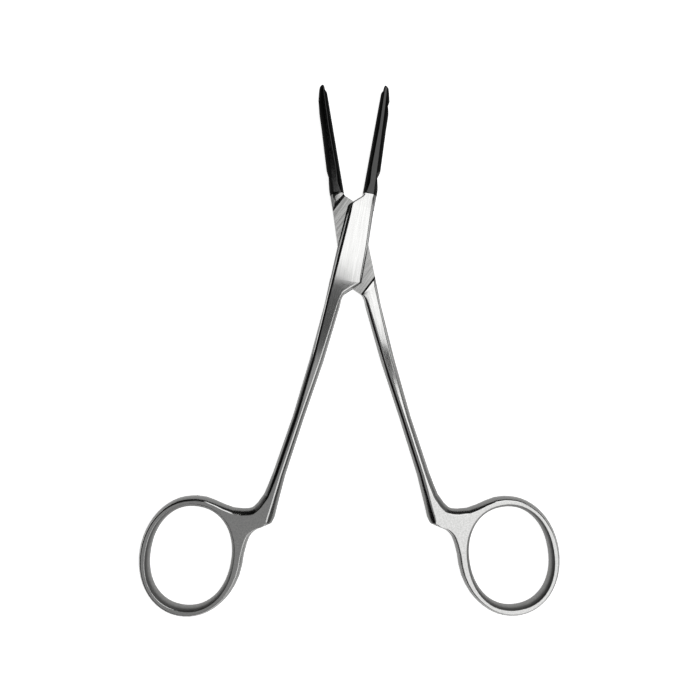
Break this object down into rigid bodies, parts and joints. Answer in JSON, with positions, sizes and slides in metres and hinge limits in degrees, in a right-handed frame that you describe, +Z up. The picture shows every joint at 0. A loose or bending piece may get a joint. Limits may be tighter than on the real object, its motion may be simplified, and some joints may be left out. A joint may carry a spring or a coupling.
{
  "type": "coated-tip forceps",
  "caption": "Ring-handled steel forceps with a box lock; slim tapered jaws with black coated, outward-notched tips, finger rings, no ratchet.",
  "frame": {"origin": "where the pivot's axis meets the flat underside of the box lock", "axes": "+Y towards the jaw tips, midway between the two arms; +Z up out of the flat, along the pivot; +X to the right seen from above. The forceps lie flat on their underside with the arms opened equally, as in the picture."},
  "size_m": [0.106, 0.1339, 0.005],
  "materials": {
    "steel": "satin ground stainless steel with polished sides",
    "coating": "semi-matt black coating"
  },
  "bodies": {
    "box_side": {"box_arm": "steel", "box_jaw_coat": "coating", "pivot_rivet": "steel"},
    "tang_side": {"tang_arm": "steel", "tang_jaw_coat": "coating"}
  },
  "joints": [
    {"name": "box_lock", "type": "hinge", "parent": "box_side", "child": "tang_side", "pos_m": [0, 0, 0.0025], "axis": [0, 0, 1], "range_deg": [-19.9, 40]}
  ]
}
